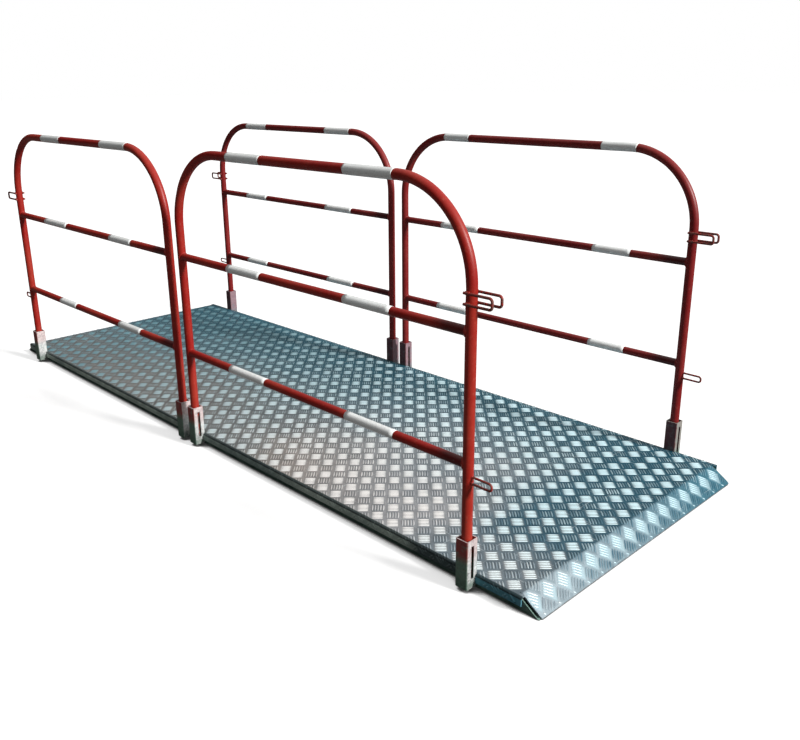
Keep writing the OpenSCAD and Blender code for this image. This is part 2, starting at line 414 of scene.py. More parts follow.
s, t, way = group_centres()
run_s = np.full(s.shape, BAR_HALF_LENGTH / math.sqrt(2))
run_t = np.where(way == 0, 1, -1) * run_s
offset = (np.arange(BARS_IN_GROUP) - BARS_IN_GROUP // 2) * BAR_GAP / math.sqrt(2)
s = (s[:, None] + offset).ravel()
t = (t[:, None] + np.where(way == 0, -1, 1)[:, None] * offset).ravel()
run_s, run_t = np.repeat(run_s, BARS_IN_GROUP), np.repeat(run_t, BARS_IN_GROUP)
s, t, half, keep = cut_to_sheet(s, t, run_s, run_t)
NOTCH_HALF, NOTCH_CLEAR, NOTCH_DEPTH = 0.021, 0.010, 0.014
for post_x in (POST_IN, POST_OUT):
    beside = np.abs(np.abs(s) - post_x) < NOTCH_HALF + NOTCH_CLEAR
    keep &= ~(beside & (np.abs(t) > FLAT_HALF - NOTCH_DEPTH))
s, t, half, run_s, run_t = (v[keep] for v in (s, t, half, run_s, run_t))
print("bars on the plate:", len(s))

# %% [markdown]
# ## The plate's raised bars: their shape
#
# A rolled bar has a rounded back and ends that run out flat. There are several thousand, so each gets
# a grid of only 6 by 5 points, and smooth shading does the rest. The foot of each bar is sunk a little
# into the plate and closed from below. Two numbers are kept on the points for the finish: how high a
# point stands on its bar, and a tone that differs from bar to bar. The bars of one direction get the
# lower tones and those of the other the higher ones, a painted highlight on the bars that catch the key
# light.

# %% Bar meshes
rng = np.random.default_rng(7)
ALONG = np.array([-1.0, -0.82, -0.35, 0.35, 0.82, 1.0])
ACROSS = np.array([-1.0, -0.62, 0.0, 0.62, 1.0])
SUNK = 0.0003
# low tones for one way of bars and high ones for the other: a painted highlight, with a random tone in each
# range
LEAST_WORN, SHADED_TONES, HIGHLIT_TONES = 0.82, (0.0, 0.30), (0.70, 1.0)


def bar_points(s, t, half, run_s, run_t):
    """Grid of each bar on the flat sheet: width * sqrt(1 - 0.9 u^4) across at length u, and height
    (1 - u^4)(1 - v^2) of the full height at v across, less the depth that the foot is sunk."""
    u, v = ALONG[None, :, None], ACROSS[None, None, :]
    width = BAR_HALF_WIDTH * np.sqrt(1 - 0.9 * u ** 4)
    worn = rng.uniform(LEAST_WORN, 1.0, len(s))[:, None, None]
    rise = BAR_HEIGHT * worn * (1 - u ** 4) * (1 - v ** 2) - SUNK
    span = half[:, None, None]
    unit_s, unit_t = run_s[:, None, None] / BAR_HALF_LENGTH, run_t[:, None, None] / BAR_HALF_LENGTH
    reach = u * span * BAR_HALF_LENGTH
    bar_s = s[:, None, None] + reach * unit_s - v * width * unit_t
    bar_t = t[:, None, None] + reach * unit_t + v * width * unit_s
    return bar_s, bar_t, np.broadcast_to(rise, bar_s.shape)


bar_s, bar_t, rise = bar_points(s, t, half, run_s, run_t)
bars = on_plate(bar_s, bar_t, rise)
lies_across = run_s * run_t < 0
tone_and_highlight = np.where(lies_across, rng.uniform(*SHADED_TONES, len(s)), rng.uniform(*HIGHLIT_TONES, len(s)))
tone_and_highlight = np.broadcast_to(tone_and_highlight[:, None, None], rise.shape)
rows, columns = bars.shape[1:3]
top_faces = grid_faces(rows, columns, closed_columns=False)[:, ::-1]
number = np.arange(rows * columns).reshape(rows, columns)
rim = np.concatenate([number[0, :], number[1:, -1], number[-1, -2::-1], number[-2:0:-1, 0]])
print("points on each bar", rows * columns, "and the highest at z", round(float(bars[..., Z].max()), 4))

# %% [markdown]
# ## Finish of the plate
#
# On the real deck the flat of the plate is dull, stained and full of grime between the bars, and only
# the tops of the bars are rubbed bright. The groups of bars that catch the key light also get a painted
# highlight, lighter than the sheet, on the plate round them and on their backs. Towards one side dry
# mud lightens and warms the metal, and the last stretch before the near nose is wiped clean. One colour
# of metal would look like plastic here, so soft maps of mud and wear blend several. Both finishes take
# the sheet's colour from the same function, so that bars and plate belong together.

# %% Checker plate finishes


def near_end(f):
    """1 on the last 0.3 m before the near nose, where the sheet is wiped clean."""
    return f.step(f.calc("ADD", f.x, f.drift(0.30, 0.125)), 0.98, 1.22)


def dry_mud(f):
    """0 to 1: dry mud, thickest along the front edge in the near half, and wiped off at both ends."""
    drift = f.drift(0.30, 0.25)
    front = f.step(f.calc("ADD", f.y, drift), 0.50, -0.42)
    far = f.step(f.calc("ADD", f.x, drift), 0.60, 0.02)
    by_corner = f.between(f.step(f.y, -0.22, -0.42), 0.12, 0.50)
    at_ends = f.times(f.between(near_end(f), 1.0, by_corner), f.between(f.step(f.x, -0.6, -1.4), 1.0, 0.6))
    return f.times(front, f.between(far, 1.0, 0.42), at_ends)


def trodden(f):
    """0 to 1, from the far end to the near end: how bright feet keep the bars."""
    return f.step(f.calc("ADD", f.x, f.drift(0.30, 0.30)), -1.15, 0.75)


def sheet_colour(f, mud, lightness=1.0):
    """Colour of the sheet between the bars: teal where clean, grey toward the front, warm grey under
    dry mud."""
    warm = f.step(f.calc("MULTIPLY_ADD", f.y, 0.8, f.x), 0.75, -0.25)
    muddy = f.mix(warm, colour(158, 160, 163), colour(158, 146, 136))
    dull = f.times(f.step(f.y, 0.10, -0.40), f.step(f.x, 0.30, -0.30))
    clean = f.mix(near_end(f), colour(40, 90, 106), colour(26, 84, 103))
    clean = f.mix(f.times(dull, 0.65), clean, colour(92, 94, 94))
    return f.mix(1.0, f.mix(mud, clean, muddy), grey(lightness), blend="MULTIPLY")


def soiled_edge_and_shaded_bend(f, base):
    """Soils the folded side edges, which hang in the dirt, and darkens the bend above them with painted
    shade. Near the nose the edge is dark at first and then clean. The noses stay as they are."""
    out = f.unsigned(f.y)
    soil = f.mix(f.clouds(0.05, detail=6, rough=0.7, stretch=(0.4, 1, 1.5)),
                 colour(108, 128, 122), colour(226, 240, 228))
    patch = f.step(f.clouds(0.45, detail=2, shift=13.0, stretch=(1, 0.1, 0.1)), 0.50, 0.62)
    soil = f.mix(f.times(patch, 0.5), soil, colour(72, 104, 108))
    soil = f.mix(f.times(f.step(f.x, 1.05, 1.12), 0.85), soil, colour(22, 52, 60))
    soil = f.mix(f.step(f.x, 1.24, 1.32), soil, colour(84, 142, 158))
    base = f.mix(f.times(f.step(out, FLAT_HALF - 0.001, FLAT_HALF + 0.001), 0.94), base, soil)
    # painted shade: the outer bend at the top of each side fold, darkened near black
    painted_bend_shade = f.times(f.step(out, FLAT_HALF - 0.0025, FLAT_HALF - 0.0005),
                   f.step(f.z, DECK_TOP - 0.008, DECK_TOP - 0.005))
    return f.mix(f.times(painted_bend_shade, 0.92), base, colour(40, 50, 52))


def group_maps(f):
    """Two maps of the groups. Nearness: 0 in the middle of a group's square to 0.5 at its rim. Way: 1
    on the groups whose bars catch the key light and get a painted highlight, 0 on the others. In a and b,
    which count pitches along and across, every group fills a square that stands on its corner, so a + b
    and a - b run square to its sides."""
    a = f.calc("DIVIDE", f.minus(f.x, GROUP_X), PITCH_X)
    b = f.calc("DIVIDE", f.minus(f.y, GROUP_Y), PITCH_Y)
    slants = [f.calc(operation, a, b) for operation in ("ADD", "SUBTRACT")]
    numbers = [f.calc("ROUND", slant) for slant in slants]
    nearness = f.most(*(f.unsigned(f.minus(slant, number)) for slant, number in zip(slants, numbers)))
    return nearness, f.minus(1.0, f.calc("PINGPONG", f.calc("ADD", *numbers), 1.0))


def drag_marks(f):
    """Three sets of long thin scratches, two along the walkway and one across it."""
    ways = (((0.02, 1, 1), 1.0, 0.06), ((0.03, 1, 1), 5.0, -0.3), ((1, 0.03, 1), 9.0, 0.1))
    return f.most(*(f.step(f.clouds(0.004, detail=2, stretch=stretch, shift=shift, turn=turn), 0.66, 0.74)
                    for stretch, shift, turn in ways))


def plate_finish():
    """Dull aluminium with stains, drag marks, grime round the bars, rubbed noses, and a painted highlight
    round the groups of bars that catch the key light.
    """
    f = Finish("checker plate", Metallic=0.35, Specular_IOR_Level=0.25)
    mud = dry_mud(f)
    stain = f.step(f.clouds(0.07, detail=6, rough=0.65, shift=3.1), 0.38, 0.72)
    base = f.mix(stain, sheet_colour(f, mud), sheet_colour(f, mud, 0.68))
    nose = f.step(f.unsigned(f.x), NOSE_START - 0.004, NOSE_START + 0.008)
    rubbed_nose = f.mix(f.step(f.y, 0.45, -0.35), colour(58, 110, 127), colour(158, 172, 179))
    base = f.mix(f.times(nose, f.between(stain, 0.85, 0.55)), base, rubbed_nose)

    nearness, highlit_way = group_maps(f)
    grime = f.times(f.step(nearness, 0.49, 0.40), f.step(f.clouds(0.12, shift=7.7), 0.25, 0.60))
    base = f.mix(f.times(grime, 0.30), base, colour(44, 76, 86))
    # colour of the painted highlight round the groups that catch the key light, greyer toward the front and
    # paler on the nose
    rubbed_and_lit = f.mix(f.step(f.y, 0.20, -0.40), colour(172, 202, 212), colour(184, 182, 181))
    rubbed_and_lit = f.mix(nose, rubbed_and_lit, colour(196, 224, 232))
    # strength and mask of the painted highlight: stronger toward the near end and on the nose
    amount = f.most(f.between(f.step(f.x, 0.9, -0.2), 0.42, 0.24), f.times(nose, 0.38))
    sheen = f.times(f.step(nearness, 0.50, 0.30), f.between(f.clouds(0.05, shift=12.0), 0.7, 1.25))
    base = f.mix(f.times(sheen, highlit_way, amount), base, rubbed_and_lit)

    scratch = drag_marks(f)
    base = f.mix(f.times(scratch, 0.5), base, colour(196, 206, 208))
    roughness = f.between(f.clouds(0.03, detail=5, shift=2.0), 0.48, 0.68)
    f.relief((f.clouds(0.16, detail=1, shift=4.0), 0.0012), (f.clouds(0.0035, detail=4, shift=8.0), 0.00006),
             (scratch, -0.00005))
    return f.done(soiled_edge_and_shaded_bend(f, base), roughness)


def bar_finish():
    """Bars rubbed bright on their backs, with grime at their feet. The backs are brighter on the bars of
    the way that catches the key light, a painted highlight.
    """
    f = Finish("checker plate bars", Metallic=0.30)
    mud = dry_mud(f)
    clean = f.mix(mud, colour(222, 249, 255), colour(246, 243, 240))
    bright = f.mix(trodden(f), colour(104, 146, 157), clean)
    # patchy wear of the bar backs, raised on the way of bars that catches the key light as a painted
    # highlight
    wear_and_highlight = f.step(f.calc("MULTIPLY_ADD", f.clouds(0.15, shift=6.0), 0.7, f.mark("tone_and_highlight")), 0.30, 1.05)
    nose = f.step(f.unsigned(f.x), NOSE_START - 0.002, NOSE_START + 0.008)
    rubbed_and_lit = f.times(wear_and_highlight, f.between(nose, 1.0, 0.45))
    back = f.mix(rubbed_and_lit, sheet_colour(f, mud, 1.25), bright)
    base = f.mix(f.step(f.mark("rise"), 0.05, 0.40), sheet_colour(f, mud), back)
    roughness = f.between(f.clouds(0.006, detail=4), 0.36, 0.52)
    f.relief((f.clouds(0.0022, detail=3, shift=3.0), 0.00005),)
    return f.done(soiled_edge_and_shaded_bend(f, base), roughness)


plate_metal = plate_finish()
bar_metal = bar_finish()
print("plate finishes:", plate_metal.name, "and", bar_metal.name)

# %% [markdown]
# One mesh of all the bars would be heavy to handle, so there is one for each quarter of the deck.

# %% Put the bars on the deck
for side, end in GUARDS:
    own = (np.sign(s) == SIGN[end]) & (np.sign(t) == SIGN[side])
    count = int(own.sum())
    first = (np.arange(count) * rows * columns)[:, None, None]
    faces = (top_faces[None] + first).reshape(-1, 4)
    feet = (rim[None, :] + first[:, :, 0]).reshape(count, -1)
    piece = add_mesh(f"bars_{side}_{end}", bars[own].reshape(-1, 3), [faces, feet], "deck", "checker_plate",
                     bar_metal, marks={"rise": (rise[own] + SUNK) / BAR_HEIGHT, "tone_and_highlight": tone_and_highlight[own]})
    print(piece.name, "bars", count, "triangles", count * (2 * len(top_faces) + len(rim) - 2))

# %% [markdown]
# ## Finishes of the frame, the sockets and the guards
#
# The frame is mill-finish tube that has lain in mud. The sockets are galvanised: zinc grows in
# crystals a few millimetres wide, so a cell pattern sets their tone. The guards are painted a warm
# signal red that has faded, chipped at its edges and rubbed off at the feet, with rust in the chips.
# Wear could be painted by hand on an unwrapped mesh, but a recipe in metres fits every guard at once
# and needs no unwrapping. Height above the ground and distance from a joint say where it goes.

# %% Frame, socket, paint, band and rod finishes


def frame_finish():
    """Dull tube with mud splashes from below."""
    f = Finish("muddy tube", Metallic=0.5)
    splash = f.step(f.clouds(0.03, detail=6, rough=0.7, stretch=(0.5, 1, 1)), 0.35, 0.65)
    base = f.mix(splash, colour(58, 86, 78), colour(108, 134, 124))
    f.relief((f.clouds(0.004, detail=5), 0.0003),)
    return f.done(base, f.between(splash, 0.75, 0.5))


def on_rear(f):
    """1 on the rear side of the bridge, which lies in shade and dirt, and 0 on the front side."""
    return f.step(f.y, -0.1, 0.1)


def socket_finish():
    """Galvanised steel: crystals, white rust, red rubbed off the guards near the mouth, dirt at the
    foot. Painted shade darkens the faces that look sideways, and the rear sockets along with their dirt.
    The rubbed red comes as lit and shaded copies: pink on the end faces, dark on the sideways ones."""
    f = Finish("galvanised socket")
    crystal = f.node("ShaderNodeSeparateColor", {0: f.cells(0.006, output="Color")}).outputs[0]
    base = f.mix(crystal, colour(188, 192, 192), colour(228, 229, 227))
    bloom = f.step(f.clouds(0.02, detail=5, rough=0.65), 0.48, 0.70)
    base = f.mix(f.times(bloom, 0.6), base, colour(222, 220, 219))
    rear = on_rear(f)
    normal = f.node("ShaderNodeNewGeometry", {}).outputs["Normal"]
    sideways = f.step(f.unsigned(f.node("ShaderNodeSeparateXYZ", {0: normal}).outputs[Y]), 0.3, 0.8)
    # the rear sockets' end faces are darker: painted shade, with dirt
    end_face = f.mix(f.step(f.x, 0.5, 0.9), colour(112, 106, 124), colour(116, 158, 148))
    base = f.mix(f.times(rear, f.between(sideways, 0.75, 0.0)), base, end_face)
    # painted shade: faces that look sideways are darkened, darkest on the rear sockets
    base = f.mix(f.times(sideways, 0.80), base, f.mix(rear, colour(56, 110, 84), colour(30, 22, 32)))
    worn_on = f.step(f.minus(f.z, f.between(rear, 0.075, 0.030)), 0.0, 0.035)
    rubbed_and_lit = f.times(worn_on, f.step(f.clouds(0.020, detail=5, shift=2.0), 0.22, 0.50),
                     f.between(sideways, 0.30, 1.0))
    # lit and shaded copies of the rubbed red: pink on the end faces, dark on the faces that look sideways
    red = f.mix(sideways, colour(190, 66, 64), f.mix(rear, colour(150, 20, 26), colour(84, 14, 24)))
    base = f.mix(f.times(rubbed_and_lit, 0.85), base, red)
    rust = f.times(f.step(f.clouds(0.010, detail=6, rough=0.7, shift=6.0), 0.56, 0.70),
                   f.step(f.z, 0.11, 0.05))
    base = f.mix(rust, base, colour(92, 58, 40))
    foot = f.times(f.step(f.z, 0.050, 0.020), f.step(f.clouds(0.012, detail=5, shift=9.0), 0.25, 0.55))
    base = f.mix(f.times(foot, 0.75), base, colour(58, 88, 72))
    metallic = f.between(f.most(rubbed_and_lit, rust, foot), 0.45, 0.05)
    f.relief((f.clouds(0.006, detail=4), 0.0002), (crystal, 0.00004))
    return f.done(base, f.between(crystal, 0.38, 0.55), metallic)


def painted_post_shadow(f):
    """Painted shadow that the post at the near end of each guard casts along each rail behind it:
    1 at the post, gone 0.115 m behind it, and nothing off the rails."""
    ragged = f.drift(0.03, 0.015, detail=4, shift=11.0)
    gaps = [f.minus(post - HOOP_R, f.x) for post in (POST_OUT, -POST_IN)]
    behind = [f.times(f.step(f.calc("ADD", gap, ragged), 0.115, 0.045), f.step(gap, -0.0005, 0.0005))
              for gap in gaps]
    on_rail = [f.step(f.unsigned(f.minus(f.z, rail_z)), RAIL_R + 0.004, RAIL_R) for rail_z in RAIL_Z]
    return f.times(f.most(*behind), f.most(*on_rail))


def paint_finish():
    """Weathered red over steel: faded patches, upright streaks, dust, chips that rust, and a painted shadow
    of each near post along its rails. Chips are where a noise rises over an edge, which is lower toward
    the feet, so that they grow together."""
    f = Finish("signal red paint", Coat_Weight=0.08, Coat_Roughness=0.35, Specular_IOR_Level=0.3)
    faded = f.step(f.clouds(0.25, detail=4, shift=1.0), 0.35, 0.70)
    # the rear guards' reds are darker: painted shade, with dirt
    front, rear = ((147, 21, 14), (162, 49, 35)), ((119, 17, 19), (135, 41, 39))
    red = f.mix(on_rear(f), *(f.mix(faded, colour(*full), colour(*pale)) for full, pale in (front, rear)))
    streaks = f.step(f.clouds(0.03, detail=6, rough=0.7, stretch=(1, 1, 0.25), shift=4.0), 0.5, 0.8)
    red = f.mix(f.times(streaks, 0.5), red, colour(132, 16, 12))
    dust = f.step(f.clouds(0.012, detail=6, rough=0.75, shift=2.4), 0.52, 0.80)
    red = f.mix(f.times(dust, 0.22), red, colour(196, 128, 104))
    # painted shadow of the near post along each rail behind it, in near-black red
    red = f.mix(f.times(painted_post_shadow(f), 0.70), red, colour(30, 8, 14))

    edge = f.between(f.step(f.z, 0.22, 0.10), 0.72, 0.60)
    edge = f.between(f.step(f.z, 0.146, 0.132), edge, 0.42)
    spots = f.clouds(0.010, detail=5, rough=0.6, shift=7.0)
    chip = f.step(spots, edge, f.calc("ADD", edge, 0.015))
    lifted = f.step(spots, f.minus(edge, 0.02), edge)
    steel = f.step(f.clouds(0.004, detail=4, shift=5.0), 0.35, 0.60)
    bare = f.mix(steel, colour(58, 34, 28), colour(92, 84, 80))
    f.relief((f.clouds(0.05, detail=2, shift=8.0), 0.0003), (f.clouds(0.0016, detail=2), 0.00003),
             (lifted, -0.00018))
    return f.done(f.mix(chip, red, bare), f.between(f.most(chip, f.times(dust, 0.6)), 0.44, 0.74))


def band_finish():
    """White reflective sheeting: fine cells under a clear face, scuffed, with dirt in the scuffs."""
    f = Finish("reflective white", Coat_Weight=0.4, Coat_Roughness=0.15)
    wall = f.step(f.cells(0.0032, feature="DISTANCE_TO_EDGE"), 0.02, 0.10)
    base = f.mix(wall, colour(224, 230, 229), colour(252, 254, 253))
    scuff = f.step(f.clouds(0.016, detail=6, rough=0.7, stretch=(0.6, 1, 1), shift=3.0), 0.52, 0.74)
    base = f.mix(f.times(scuff, 0.28), base, colour(176, 160, 154))
    red_left = f.step(f.clouds(0.006, detail=5, rough=0.7, shift=6.0), 0.66, 0.71)
    base = f.mix(f.times(red_left, 0.8), base, colour(176, 50, 36))
    f.relief((f.clouds(0.02, detail=2), 0.0002), (wall, 0.00003))
    return f.done(base, f.between(scuff, 0.28, 0.6))


def rod_finish():
    """Thin red paint on rod, mostly gone to brown rust."""
    f = Finish("rusty rod")
    rust = f.step(f.clouds(0.008, detail=6, rough=0.7), 0.36, 0.58)
    brown = f.mix(f.clouds(0.003, detail=5, shift=2.0), colour(74, 42, 40), colour(128, 88, 78))
    f.relief((f.clouds(0.0015, detail=5), 0.0002),)
    base = f.mix(rust, colour(158, 34, 26), brown)
    return f.done(base, f.between(rust, 0.4, 0.85), f.between(rust, 0.0, 0.15))


finishes = {
    "frame_tube": frame_finish(), "socket_steel": socket_finish(), "guard_paint": paint_finish(),
    "loop_rod": rod_finish(), "checker_plate": plate_metal,
}
band_white = band_finish()


def slot_of(node):
    """The finish that a solid's name asks for."""
    if node.startswith("socket"):
        return "socket_steel"
    if "loop" in node:
        return "loop_rod"
    if node.startswith("guard"):
        return "guard_paint"
    return "checker_plate" if node == "tread_plate" else "frame_tube"


for node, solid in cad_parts.items():
    for place in solid.material_slots:
        place.material = finishes[slot_of(node)]
print("finishes put on", len(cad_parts), "solids")

# %% [markdown]
# ## The guard hoops
#
# Each hoop is one tube bent twice. A bent site tube is never perfect: it is a little flat in the
# bends and has dents where guards were thrown on a pile. A curve with a round bevel would be quicker,
# but it can't be dented. So the tube is a round section carried along a path of two posts, two quarter
# bends and the top bar, and its radius varies along and round it.

# %% Hoop path and dents
HOOP_SIDES = 36
FLATTENED = 0.025                            # share by which the bends are flatter
DENTS, DENT_SPREAD = 9, 0.55                 # dents on a hoop, and how far each goes round, in radians
DENT_DEPTH, DENT_REACH = (0.0003, 0.0012), (0.008, 0.018)
DENT_FREE = 0.16                             # length at each foot that stands in the socket


def hoop_path(step=0.010):
    """Points and tangents of a hoop's axis in the XZ plane, from the inner foot to the outer foot."""
    height, bar = TOP_BAR_Z - BEND_R, POST_OUT - POST_IN - 2 * BEND_R
    up = np.linspace(POST_FOOT, height, int((height - POST_FOOT) / step) + 1)
    turn = np.linspace(0, math.pi / 2, int(BEND_R * math.pi / 2 / step) + 1)[1:]
    over = np.linspace(0, bar, int(bar / step) + 1)[1:]
    x = np.concatenate([np.full(len(up), POST_IN), POST_IN + BEND_R * (1 - np.cos(turn)),
                        POST_IN + BEND_R + over])
    z = np.concatenate([up, height + BEND_R * np.sin(turn), np.full(len(over), TOP_BAR_Z)])
    turn_x = np.concatenate([np.zeros(len(up)), np.sin(turn), np.ones(len(over))])
    turn_z = np.concatenate([np.ones(len(up)), np.cos(turn), np.zeros(len(over))])
    down = np.concatenate([turn, np.full(len(up) - 1, math.pi / 2)])
    x = np.concatenate([x, POST_OUT - BEND_R + BEND_R * np.sin(turn), np.full(len(up) - 1, POST_OUT)])
    z = np.concatenate([z, height + BEND_R * np.cos(turn), up[::-1][1:]])
    turn_x = np.concatenate([turn_x, np.cos(down)])
    turn_z = np.concatenate([turn_z, -np.sin(down)])
    return x, z, turn_x, turn_z


def dented_radius(x, z, seed):
    """Radius at each point of a hoop: the tube's own, a little less across the bends, and dents, each a
    dip of depth * exp(-(distance / reach)^2 - (angle / spread)^2)."""
    random = np.random.default_rng(seed)
    length = np.concatenate([[0], np.cumsum(np.hypot(np.diff(x), np.diff(z)))])[:, None]
    angle = turns(HOOP_SIDES)[None, :]
    radius = np.full((len(x), HOOP_SIDES), HOOP_R)
    in_bend = np.exp(-((z - (TOP_BAR_Z - BEND_R * 0.3)) / (BEND_R * 0.35)) ** 2)
    in_bend *= (np.abs(x - POST_IN) < BEND_R) | (np.abs(x - POST_OUT) < BEND_R)
    radius *= 1 - FLATTENED * in_bend[:, None] * np.sin(angle) ** 2
    for _ in range(DENTS):
        at, round_at = random.uniform(DENT_FREE, length[-1, 0] - DENT_FREE), random.uniform(0, 2 * math.pi)
        depth, reach = random.uniform(*DENT_DEPTH), random.uniform(*DENT_REACH)
        off = np.angle(np.exp(1j * (angle - round_at)))
        radius = radius - depth * np.exp(-((length - at) / reach) ** 2 - (off / DENT_SPREAD) ** 2)
    return radius


x, z, turn_x, turn_z = hoop_path()
print("hoop axis", len(x), "points, length", round(float(np.hypot(np.diff(x), np.diff(z)).sum()), 3), "m")

# %% [markdown]
# Both feet of a hoop are open tube, and they show when a guard is lifted out. So the swept surface
# doesn't stop at the foot: it turns in over the wall's thickness and runs up the bore.

# %% Hoop meshes
BORE_SHOWN, FIRST_SEED = 0.12, 20


def with_feet(values, inner, outer):
    """A hoop's array with rows added at both ends for the wall's edge and the bore."""
    return np.concatenate([inner, values, outer])


for index, (side, end) in enumerate(GUARDS):
    radius = dented_radius(x, z, FIRST_SEED + index)
    bore = np.full((2, HOOP_SIDES), HOOP_R - HOOP_WALL)
    grid_x = with_feet(x, [x[0]] * 2, [x[-1]] * 2)
    grid_z = with_feet(z, [z[0] + BORE_SHOWN, z[0]], [z[-1], z[-1] + BORE_SHOWN])
    path = np.stack([SIGN[end] * grid_x, np.full(len(grid_x), SIGN[side] * GUARD_Y), grid_z], axis=1)
    tangent = np.stack([SIGN[end] * with_feet(turn_x, [0, 0], [0, 0]), np.zeros(len(grid_x)),
                        with_feet(turn_z, [1, 1], [-1, -1])], axis=1)
    grid = sweep(path, (0, 1, 0), with_feet(radius, bore, bore), HOOP_SIDES, tangent)
    name = f"guard_{side}_{end}"
    hoop = add_mesh(f"hoop_{side}_{end}", *tube_mesh(grid), name, "guard_paint", finishes["guard_paint"])
    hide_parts(f"{name}_hoop")
print("hoops made with", 2 * len(grid) * HOOP_SIDES, "triangles each")

# %% [markdown]
# ## White bands
#
# Two bands of reflective sheeting are wrapped round each top bar and rail. They were put on by eye,
# so their places differ a little from guard to guard. White could be mixed into the paint's recipe
# instead, but sheeting has a thickness, and its edge catches the light. So a band is a thin sleeve
# that follows the tube, with its ends turned in to the paint and cut slightly out of square.

# %% Bands
BAND_THICK, BAND_TUCK, BAND_SIDES, BAND_ROWS = 0.00035, 0.0006, 36, 12
BAND_SKEW = (0.0004, 0.0016)
# where each band starts and stops along x, from mid length: two on the top bar, on the middle rail and
# on the lower rail
BAND_ENDS = {
    ("front", "right"): (((0.348, 0.514), (0.866, 1.046)), ((0.313, 0.482), (0.852, 1.028)),
                         ((0.290, 0.478), (0.846, 1.038))),
    ("front", "left"): (((0.262, 0.450), (0.785, 0.955)), ((0.294, 0.456), (0.818, 1.024)),
                        ((0.290, 0.455), (0.822, 0.972))),
    ("rear", "right"): (((0.262, 0.385), (0.946, 1.076)), ((0.250, 0.436), (0.938, 1.080)),
                        ((0.232, 0.392), (0.944, 1.085))),
    ("rear", "left"): (((0.284, 0.448), (0.876, 1.036)), ((0.284, 0.462), (0.906, 1.070)),
                       ((0.286, 0.462), (0.928, 1.094))),
}


def bar_axis(level, start, stop):
    """Axis points of one band's stretch of the top bar (level 0), middle rail (1) or lower rail (2)."""
    if level:
        place = np.linspace(start, stop, BAND_ROWS)
        return place, np.full(len(place), RAIL_Z[level - 1])
    fine_x, fine_z = hoop_path(step=0.004)[:2]
    own = (fine_x > start) & (fine_x < stop) & (fine_z > TOP_BAR_Z - 0.05)
    return fine_x[own], fine_z[own]


def band_grid(side, end, level, start, stop):
    """Sleeve: the tube's radius plus the sheeting, dropping below the paint in a last ring at each end.
    The end rings are moved along the tube by a sine of the angle, as by a slightly skew cut."""
    along_x, along_z = bar_axis(level, start, stop)
    rows_x = np.concatenate([[along_x[0]], along_x, [along_x[-1]]]) * SIGN[end]
    rows_z = np.concatenate([[along_z[0]], along_z, [along_z[-1]]])
    tube_r = RAIL_R if level else HOOP_R
    radius = np.full(len(rows_x), tube_r + BAND_THICK)
    radius[[0, -1]] = tube_r - BAND_TUCK
    path = np.stack([rows_x, np.full(len(rows_x), SIGN[side] * GUARD_Y), rows_z], axis=1)
    tangent = np.gradient(path[1:-1], axis=0)
    tangent = np.concatenate([tangent[:1], tangent, tangent[-1:]])
    grid = sweep(path, (0, 1, 0), radius[:, None], BAND_SIDES, tangent)
    for ends in ([0, 1], [-2, -1]):
        skew = rng.uniform(*BAND_SKEW) * np.sin(turns(BAND_SIDES) + rng.uniform(0, 2 * math.pi))
        grid[ends, :, X] += skew
    return grid


for (side, end), levels in BAND_ENDS.items():
    sleeves = [band_grid(side, end, level, *band) for level, bands in enumerate(levels) for band in bands]
    add_mesh(f"bands_{side}_{end}", *joined(strips=sleeves), f"guard_{side}_{end}", "guard_paint", band_white)
print("bands put on", len(BAND_ENDS), "guards, six each")

# %% [markdown]
# ## Weld beads
#
# Every joint of the real bridge shows a bead. Where a rail meets a post the bead runs round the
# saddle-shaped cut, and its overlapping ripples are a few millimetres apart. Shorter beads hold the
# coupling loops, and upright ones run where a socket stands against the deck's side rail. A ring of
# one thickness would do from afar, but a thickness that swells and shrinks looks welded from near by.

# %% Bead shapes
RAIL_BEAD, RING_BEAD, LEG_BEAD, SEAM_BEAD = 0.0027, 0.0016, 0.0019, 0.0024    # their radii
AROUND_RAIL, AROUND_ROD, ALONG_BEAD = 72, 24, 14                               # points along them
BEAD_SIDES, RING_SIDES = 10, 8


def rail_bead(rail_z, post_x, toward, side_y):
    """Bead round a rail's end. The seam is where the rail's cylinder meets the post's: at angle a,
    y = r sin a, z = r cos a and x = sqrt(R^2 - y^2) from the post's axis. The ripple is |sin| of a
    multiple of a."""
    a = turns(AROUND_RAIL)
    y, z = RAIL_R * np.sin(a), RAIL_R * np.cos(a)
    out = np.sqrt(HOOP_R ** 2 - y ** 2)
    path = np.stack([post_x + toward * out, side_y + y, rail_z + z], axis=1)
    up = np.stack([toward * out / HOOP_R, y / HOOP_R + np.sin(a), np.cos(a)], axis=1)
    ripple = 1 + 0.16 * np.abs(np.sin(11 * a + post_x)) + 0.08 * np.sin(3 * a + rail_z * 9)
    return sweep(path, up, (RAIL_BEAD * ripple)[:, None], BEAD_SIDES, closed=True)


def short_bead(start, stop, up, size):
    """Straight bead between two points, thick in its middle: size * sqrt(1 - 0.97 u^4) at u along it,
    times a ripple of |sin|."""
    u = np.linspace(-1, 1, ALONG_BEAD)
    middle, half = np.add(start, stop) / 2, np.subtract(stop, start) / 2
    thick = size * np.sqrt(1 - 0.97 * u ** 4) * (1 + 0.14 * np.abs(np.sin(9 * u)))
    return sweep(middle + u[:, None] * half, up, thick[:, None], BEAD_SIDES)


def ring_bead(centre, radius, size):
    """Ring round a rod that ends on a post, in the plane square to X, rippled by |sin|."""
    a = turns(AROUND_ROD)
    path = np.asarray(centre) + radius * np.stack([np.zeros(len(a)), np.sin(a), np.cos(a)], axis=1)
    up = np.stack([np.full(len(a), 0.4), np.sin(a), np.cos(a)], axis=1)
    return sweep(path, up, (size * (1 + 0.15 * np.abs(np.sin(4 * a))))[:, None], RING_SIDES, closed=True)


